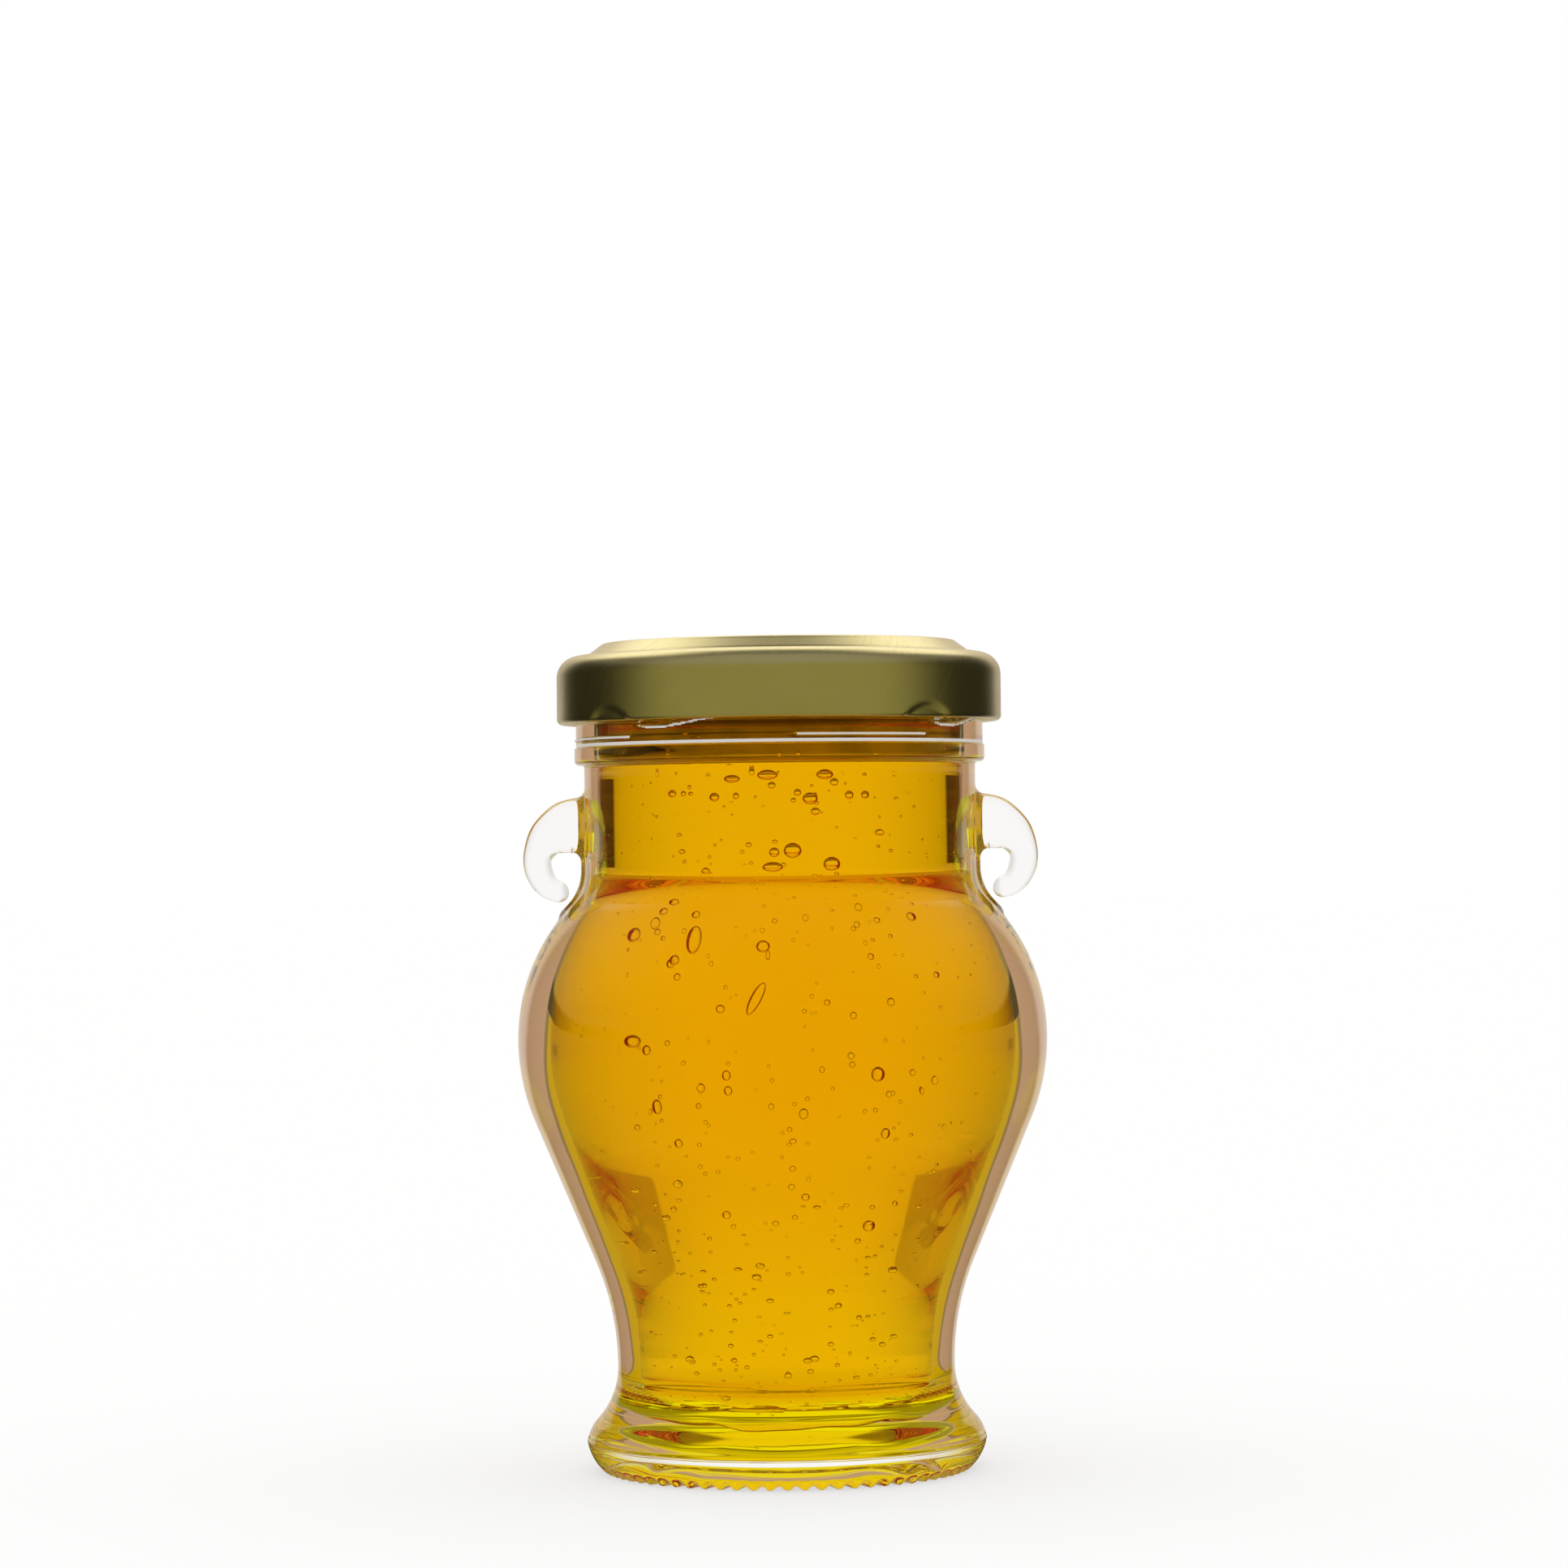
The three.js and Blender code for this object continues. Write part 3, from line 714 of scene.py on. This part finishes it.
def ear_rings(boundary):
    """Rings of one ear on the +X side, from the points left open on the neck out to the tip, then the tip."""
    y, z = boundary[:, 1], boundary[:, 2] - EAR_Z
    angle = np.arctan2(z, y)
    power = 2 / EAR_SQUARENESS
    across_y = np.sign(np.cos(angle)) * np.abs(np.cos(angle)) ** power
    across_z = np.sign(np.sin(angle)) * np.abs(np.sin(angle)) ** power

    def on_neck(side, up):
        theta = np.arcsin(side / NECK_R)
        return np.sqrt((NECK_R + rib(theta, up + EAR_Z)) ** 2 - side**2)

    rings = []
    foot_y, foot_z = across_y * (EAR_ROOT_Y + EAR_FILLET), across_z * (EAR_ROOT_Z + EAR_FILLET)
    for t in (0.5, 1.0):
        side, up = y + (foot_y - y) * t, z + (foot_z - z) * t
        rings.append(np.column_stack([on_neck(side, up), side, up + EAR_Z]))
    for step in range(1, EAR_FILLET_RINGS + 1):
        a = math.pi / 2 * step / EAR_FILLET_RINGS
        more, away = EAR_FILLET * (1 - math.sin(a)), EAR_FILLET * (1 - math.cos(a))
        side, up = across_y * (EAR_ROOT_Y + more), across_z * (EAR_ROOT_Z + more)
        rings.append(np.column_stack([on_neck(side, up) + away, side, up + EAR_Z]))
    line = curve([EAR_BEFORE, *EAR_PATH, EAR_AFTER])
    lengths = np.concatenate([[0], np.cumsum(np.linalg.norm(np.diff(line, axis=0), axis=1))])
    marks = lengths / lengths[-1]
    tangents = np.gradient(line, lengths, axis=0)
    tangents /= np.linalg.norm(tangents, axis=1)[:, None]
    bowed = on_neck(across_y * EAR_ROOT_Y, across_z * EAR_ROOT_Z) - NECK_R
    cap = 1 - EAR_CAP / lengths[-1]
    closing = np.sin(np.linspace(0, math.pi / 2, EAR_CAP_STEPS)[1:-1])
    for at in [*np.linspace(EAR_FROM, cap, EAR_PATH_RINGS), *(cap + (1 - cap) * closing)]:
        here = np.array([np.interp(at, marks, line[:, k]) for k in (0, 1)])
        way = np.array([np.interp(at, marks, tangents[:, k]) for k in (0, 1)])
        way /= np.linalg.norm(way)
        to_side, to_tip = smooth(at, 0.0, EAR_SIDE_AT), smooth(at, EAR_SIDE_AT, 1.0)
        thick = EAR_ROOT_Z + (EAR_SIDE_Z - EAR_ROOT_Z) * to_side + (EAR_TIP_Z - EAR_SIDE_Z) * to_tip
        deep = EAR_ROOT_Y + (EAR_SIDE_Y - EAR_ROOT_Y) * to_side
        close = math.sqrt(max(0.0, 1 - ((at - cap) / (1 - cap)) ** 2)) if at > cap else 1.0
        up = across_z * thick * close
        flat = bowed * (1 - smooth(at, 0.0, EAR_FLAT_AT))
        ring_x = NECK_R + here[0] - way[1] * up + flat
        rings.append(np.column_stack([ring_x, across_y * deep * close, EAR_Z + here[1] + way[0] * up]))
    return rings, np.array([NECK_R + line[-1][0], 0.0, EAR_Z + line[-1][1]])


# The third look, seam, whitens the mould's edge lines as a painted highlight
def make_glass(dry, wet, seam):
    rows, neck_row, inside_row = glass_outline()
    theta, r, z = turned_points(rows, SEGMENTS)
    row = np.repeat(np.arange(len(rows)), SEGMENTS)
    outside = row < inside_row
    ring = smooth(r, *KNURL_R) * smooth(z, *KNURL_Z) * outside
    tooth = 0.5 - 0.5 * np.cos(theta * KNURL_TEETH)
    z += KNURL_HEIGHT * tooth**KNURL_SHARPNESS * ring
    r += np.where(outside, ridges(theta, z), 0)
    r += np.where(outside, rib(theta, z), 0)
    r += np.where(outside, HEEL_LINE_HEIGHT * np.exp(-(((z - HEEL_LINE_Z) / HEEL_LINE_WIDTH) ** 2)), 0)
    z += np.where(row > inside_row, floor_ripple(theta, r, z), 0)
    points = placed(theta, r, z).tolist()

    half_turn = SEGMENTS // 2
    low, high = neck_row + EAR_LOW_ROW, neck_row + EAR_LOW_ROW + EAR_ROWS

    def in_ear(at_row, seg):
        near = min(seg % half_turn, half_turn - 1 - seg % half_turn) < EAR_HALF_STEPS
        return near and low <= at_row < high

    faces = turned_faces(len(rows), SEGMENTS, in_ear)
    for turn, way in ((0, (1.0, 1.0, 1.0)), (half_turn, (-1.0, -1.0, 1.0))):
        loop = [i * SEGMENTS + (turn + s) % SEGMENTS for i, s in ear_edge(low, high)]
        rings, tip = ear_rings(np.array([points[i] for i in loop]) * way)
        for made in rings:
            new = list(range(len(points), len(points) + len(loop)))
            points += (made * way).tolist()
            faces += zip(loop, loop[1:] + loop[:1], new[1:] + new[:1], new)
            loop = new
        points.append((tip * way).tolist())
        faces += fan(loop, len(points) - 1)
    for end in end_fans(points, len(rows), SEGMENTS, rows[0][1], rows[-1][1]):
        faces += end

    inside = range(inside_row * SEGMENTS, len(rows) * SEGMENTS)
    slots = []
    for face in faces:
        x, y, up = points[face[0]]
        at = math.atan2(y, x)
        if all(i in inside or i == len(points) - 1 for i in face):
            slots.append(WET if up < wet_z(at) else DRY)
        else:
            # Outside faces on the edge lines take the look with the painted highlight
            slots.append(PAINTED_HIGHLIGHT if on_painted_highlight(at, up) else DRY)
    return piece("jar_glass", points, faces, [dry, wet, seam], slots)


# Honey: fills the cavity and holds the bubbles as hollows
FILL_SEGMENTS, FILL_STEP, FILL_GAP = 160, 1.2, 0.04
FILL_FLARE, FLARE_DOWN = 0.3, 0.5
MENISCUS = ((FILL_GAP + 0.25, 0.15), (1.0, 0.3))
DIP_R, DIP = 8.0, 0.35
WET_TINT = 0.2
# Height from which the honey carries painted shade under the lid, and the tint level that marks it
LID_SHADE_Z, LID_SHADE_TINT = 89.45, 2.0
BUBBLE_BEND = 0.55
LARGE_BUBBLE, FINE_BALL, COARSE_BALL = 0.45, 3, 2


def make_honey(look):
    rim = BORE_R - FILL_GAP
    lean = FILL_FLARE * (FILL_Z - LID_SHADE_Z) / (FILL_Z - BEAD_Z)
    wall = cavity(FILL_GAP, BEAD_Z - FLARE_DOWN)
    wall += [(rim - FILL_FLARE, BEAD_Z), (rim - lean, LID_SHADE_Z), (rim, FILL_Z)]
    outline = filled(wall, FILL_STEP)[1:]
    outline += [(BORE_R - inward, FILL_Z - down) for inward, down in MENISCUS] + [(DIP_R, FILL_Z - DIP)]
    theta, r, z = turned_points(outline, FILL_SEGMENTS)
    z += floor_ripple(theta, r, z)
    points = placed(theta, r, z).tolist()
    faces = turned_faces(len(outline), FILL_SEGMENTS)
    free, tinted = [], []
    for face in faces:
        x, y, up = points[face[0]]
        wet = up < wet_z(math.atan2(y, x))
        free.append(0.0 if wet else 1.0)
        # Faces above that height get the painted shade under the lid
        tinted.append(WET_TINT if wet else LID_SHADE_TINT if up > LID_SHADE_Z - HAIR else 1.0)
    bottom, top = end_fans(points, len(outline), FILL_SEGMENTS, FLOOR_Z + FILL_GAP, FILL_Z - DIP)
    faces += bottom + top
    # The honey's top also gets the painted shade under the lid
    free += [0.0] * len(bottom) + [1.0] * len(top)
    tinted += [WET_TINT] * len(bottom) + [LID_SHADE_TINT] * len(top)
    for centre, radii, tilt in bubbles():
        ball_points, ball_faces = ball(FINE_BALL if max(radii) > LARGE_BUBBLE else COARSE_BALL)
        turn = Matrix.Rotation(tilt, 3, "Y")
        first = len(points)
        for v in ball_points:
            p = turn @ Vector([at * half for at, half in zip(v, radii)])
            points.append([middle + off for middle, off in zip(centre, p)])
        faces += [tuple(first + i for i in reversed(face)) for face in ball_faces]
        free += [BUBBLE_BEND] * len(ball_faces)
        tinted += [0.0] * len(ball_faces)
    obj = piece("honey_fill", points, faces, [look])
    for name, values in (("free", free), ("tinted", tinted)):
        obj.data.attributes.new(name, "FLOAT", "FACE").data.foreach_set("value", values)
    return obj


BALLS = {}


def ball(level):
    """Points and faces of a round ball of radius 1."""
    if level not in BALLS:
        bpy.ops.mesh.primitive_ico_sphere_add(subdivisions=level, radius=1.0)
        made = bpy.context.object
        mesh = made.data
        points = [tuple(v.co) for v in mesh.vertices]
        faces = [tuple(p.vertices) for p in mesh.polygons]
        bpy.data.objects.remove(made)
        bpy.data.meshes.remove(mesh)
        BALLS[level] = (points, faces)
    return BALLS[level]


# Larger bubbles near the front wall: sideways and up, depth behind the wall, half sizes, lean
NAMED_BUBBLES = (
    (-5.5, 86.4, 1.2, (0.95, 0.8, 0.5), 0),
    (-1.4, 86.8, 1.5, (1.2, 0.8, 0.6), 0),
    (5.2, 86.8, 1.4, (1.0, 0.8, 0.6), 0),
    (3.5, 83.9, 1.2, (0.9, 0.8, 0.75), 0),
    (-7.6, 84.2, 1.0, (0.6, 0.6, 0.55), 0),
    (9.9, 84.3, 1.0, (0.5, 0.5, 0.5), 0),
    (1.4, 77.6, 1.4, (1.05, 0.9, 0.95), 0),
    (-0.7, 77.4, 2.6, (0.6, 0.6, 0.6), 0),
    (-0.9, 75.6, 1.4, (1.2, 0.9, 0.65), 0),
    (5.9, 75.9, 1.4, (1.0, 0.9, 0.9), 0),
    (-12.3, 70.2, 1.5, (0.65, 0.65, 0.65), 0),
    (-9.8, 68.7, 1.5, (0.5, 0.5, 0.5), 0),
    (-16.7, 66.1, 1.5, (0.85, 0.85, 0.9), 0),
    (-9.8, 65.5, 2.0, (0.9, 0.9, 1.7), 0.1),
    (-12.2, 63.6, 1.2, (0.6, 0.6, 0.6), 0),
    (-2.1, 65.1, 1.4, (0.8, 0.8, 0.75), 0),
    (-2.9, 59.2, 1.6, (0.65, 0.7, 2.0), 0.5),
    (-16.8, 54.6, 1.2, (1.05, 0.8, 0.7), 0),
    (10.7, 50.8, 1.2, (0.8, 0.8, 0.85), 0),
    (17.5, 61.5, 1.2, (0.4, 0.4, 0.4), 0),
    (14.9, 68.0, 1.4, (0.6, 0.6, 0.6), 0),
    (-14.2, 47.4, 1.2, (0.6, 0.6, 0.85), 0),
    (-6.4, 50.9, 1.2, (0.5, 0.5, 0.6), 0),
    (-6.2, 49.2, 1.6, (0.5, 0.5, 0.55), 0),
    (11.5, 44.1, 1.3, (0.55, 0.55, 0.7), 0),
    (9.5, 32.6, 1.2, (0.75, 0.75, 0.75), 0),
)

# The other bubbles: how many, where, how large, how close, and shares of the radius or of their number
BUBBLE_COUNT, BUBBLE_TRIES = 780, 20000
BUBBLE_LOW_Z, BUBBLE_HIGH_Z = FLOOR_Z + 3.0, FILL_Z - 2.0
BUBBLE_LEAST, BUBBLE_MOST, BUBBLE_RATE, BUBBLE_STRETCH = 0.13, 0.5, 8.5, (0.85, 1.15)
BUBBLE_TO_WALL, BUBBLE_APART = 0.5, 0.1
BUBBLE_SPREAD, BUBBLE_IN_FRONT = (0.15, 1.0), 0.75
BUBBLE_SMALL_FROM, BUBBLE_NONE_FROM, BUBBLE_SMALL = 0.55, 0.8, 0.5


def wall_radius(z):
    inner = cavity(0, RIM_Z)
    return float(np.interp(z, [p[1] for p in inner[1:]], [p[0] for p in inner[1:]]))


def bubbles():
    """Centre, half sizes and lean of every bubble. Those beside the middle and at the back are smaller."""
    made = []
    for side, up, depth, radii, tilt in NAMED_BUBBLES:
        reach = wall_radius(up) - depth - max(radii)
        made.append(((side, -math.sqrt(max(0.0, reach**2 - side**2)), up), radii, tilt))
    tries = 0
    while len(made) < BUBBLE_COUNT and tries < BUBBLE_TRIES:
        tries += 1
        up = rng.uniform(BUBBLE_LOW_Z, BUBBLE_HIGH_Z)
        size = min(BUBBLE_MOST, BUBBLE_LEAST + rng.expovariate(BUBBLE_RATE))
        wall = wall_radius(up) - size - BUBBLE_TO_WALL
        out = wall * math.sqrt(rng.uniform(*BUBBLE_SPREAD))
        a = rng.uniform(math.pi, TAU) if rng.random() < BUBBLE_IN_FRONT else rng.uniform(0, math.pi)
        spot = (out * math.cos(a), out * math.sin(a), up)
        if abs(spot[0]) > BUBBLE_SMALL_FROM * wall or spot[1] > 0:
            size *= BUBBLE_SMALL
        clear = all(math.dist(spot, other) > size + max(radii) + BUBBLE_APART for other, radii, _ in made)
        if clear and abs(spot[0]) < BUBBLE_NONE_FROM * wall:
            made.append((spot, (size, size, size * rng.uniform(*BUBBLE_STRETCH)), 0.0))
    return made


# Lid: one pressed sheet, dented where the lugs are pressed in
LID_SEGMENTS, UNDER_STEP, OVER_STEP = 320, 0.4, 0.35
SKIRT_START, PANEL_FILLET, PANEL_FILLET_IN = 3.0, 0.4, 0.1
DENT_HEIGHT, DENT_HALF_ANGLE, DENT_DEPTH, DENT_EDGE = 1.8, 8.0, 0.5, (-0.1, 0.5)
LUG_FROM, LUG_HALF_ANGLE, LUG_SQUARENESS = 0.5, 5.6, 6


def make_lid(look):
    panel_z = LEDGE_Z + PANEL_RISE
    ledge_out = LID_R - LID_ROUND
    ledge_in = ledge_out - LEDGE_WIDTH
    panel_r = ledge_in - PANEL_SLOPE
    curl_r = CURL / 2
    curl_z = LID_Z + curl_r
    shoulder = LEDGE_Z - LID_ROUND
    under = [(MIDDLE_R, panel_z - SHEET), (panel_r - PANEL_ROUND, panel_z - SHEET)]
    under += [(ledge_in - SHEET, LEDGE_Z - SHEET), *arc(ledge_out, shoulder, LID_ROUND - SHEET, 90, 0)]
    under += [(LID_R - SHEET, curl_z + curl_r), *arc(LID_R - curl_r, curl_z, curl_r, 100, 360)]
    over = arc(ledge_out, shoulder, LID_ROUND, 0, 90)
    over += arc(ledge_in - PANEL_FILLET_IN, LEDGE_Z + PANEL_FILLET, PANEL_FILLET, -90, -140)
    over += arc(panel_r - PANEL_ROUND, panel_z - PANEL_ROUND, PANEL_ROUND, 45, 90) + [(MIDDLE_R, panel_z)]
    outline = filled(under, UNDER_STEP)
    outline += filled([outline[-1], (LID_R, LID_Z + SKIRT_START), *over], OVER_STEP)[1:]
    theta, r, z = turned_points(outline, LID_SEGMENTS)
    turn = (from_front(theta) - LUG_AZIMUTH + QUARTER / 2) % QUARTER - QUARTER / 2
    lens = DENT_HEIGHT * (1 - (turn / DENT_HALF_ANGLE) ** 2)
    pressed = smooth(LID_Z + lens - z, *DENT_EDGE) * (lens > 0)
    inner = smooth(r, LID_R - LUG_FROM, LID_R - CURL) * (z < LID_Z + CURL + HAIR)
    r -= pressed * DENT_DEPTH
    tip = np.exp(-((np.abs(turn) / LUG_HALF_ANGLE) ** LUG_SQUARENESS))
    r -= tip * inner * (LID_R - CURL - DENT_DEPTH - LUG_TIP_R)
    points = placed(theta, r, z).tolist()
    faces = turned_faces(len(outline), LID_SEGMENTS)
    for end in end_fans(points, len(outline), LID_SEGMENTS, panel_z - SHEET, panel_z):
        faces += end
    return piece("lid", points, faces, [look])


# Sealing ring
SEAL_SEGMENTS, SEAL_ROUND = 128, 0.2


def make_seal(look):
    corner = SEAL_ROUND
    out = LID_R - LID_ROUND - corner
    into = LID_R - LID_ROUND - SEAL_WIDTH + corner
    low, high = SEAL_Z + corner, SEAL_Z + SEAL_THICKNESS - corner
    outline = arc(into, low, corner, 180, 270) + arc(out, low, corner, 270, 360)
    outline += arc(out, high, corner, 0, 90) + arc(into, high, corner, 90, 180)
    points = placed(*turned_points(outline, SEAL_SEGMENTS)).tolist()
    faces = turned_faces(len(outline), SEAL_SEGMENTS)
    last = (len(outline) - 1) * SEAL_SEGMENTS
    for seg in range(SEAL_SEGMENTS):
        after = (seg + 1) % SEAL_SEGMENTS
        faces.append((last + seg, last + after, after, seg))
    return piece("seal", points, faces, [look])


glass = make_glass(glass_look("clear_glass", GLASS_IOR), glass_look("wet_glass", WET_IOR), painted_highlight_look())
honey = make_honey(honey_look())
lid = make_lid(lacquer_look())
seal = make_seal(seal_look())
for obj, body, node, slot in (
    (glass, "jar", "glass_jar", "clear_glass"),
    (honey, "jar", "honey", "amber_honey"),
    (lid, "lid", "lid_shell", "gold_lacquer"),
    (seal, "seal", "sealing_ring", "seal_compound"),
):
    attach(obj, body)
    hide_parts(node)

# Floor and studio: white, with a wall behind, dark flags beside it, a dim room in front and a light ceiling
FLOOR_HALF = 8
FLOOR_CORNERS = ((-1, -1), (1, -1), (1, 1), (-1, 1))
mesh = bpy.data.meshes.new("floor")
mesh.from_pydata([(x * FLOOR_HALF, y * FLOOR_HALF, 0) for x, y in FLOOR_CORNERS], [], [(0, 1, 2, 3)])
mesh.materials.append(floor_look())
floor = bpy.data.objects.new("floor", mesh)
bpy.context.collection.objects.link(floor)
studio()

# Camera: level with the neck, looking slightly up, rolled a little
SENSOR, PIXELS, FOCAL_PIXELS = 36.0, 1932, 6153.0
DISTANCE, EYE_Z, EYE_X = 629.0, 77.0, 0.53
PITCH, ROLL = 0.82, -0.66
camera = bpy.data.objects.new("camera", bpy.data.cameras.new("camera"))
camera.data.sensor_width = SENSOR
camera.data.lens = SENSOR * FOCAL_PIXELS / PIXELS
camera.data.clip_start, camera.data.clip_end = 0.01, 50.0
camera.matrix_world = (
    Matrix.Translation(Vector((EYE_X, -DISTANCE, EYE_Z)) * MM)
    @ Matrix.Rotation(math.radians(QUARTER + PITCH), 4, "X")
    @ Matrix.Rotation(math.radians(ROLL), 4, "Z")
)
bpy.context.collection.objects.link(camera)
scene = bpy.context.scene
scene.camera = camera
scene.view_settings.view_transform = "Standard"

# Light that circles in the glass wall ends as black patches with fewer bounces
BOUNCES = 128
scene.cycles.max_bounces = BOUNCES
scene.cycles.transmission_bounces = BOUNCES
scene.cycles.glossy_bounces = BOUNCES
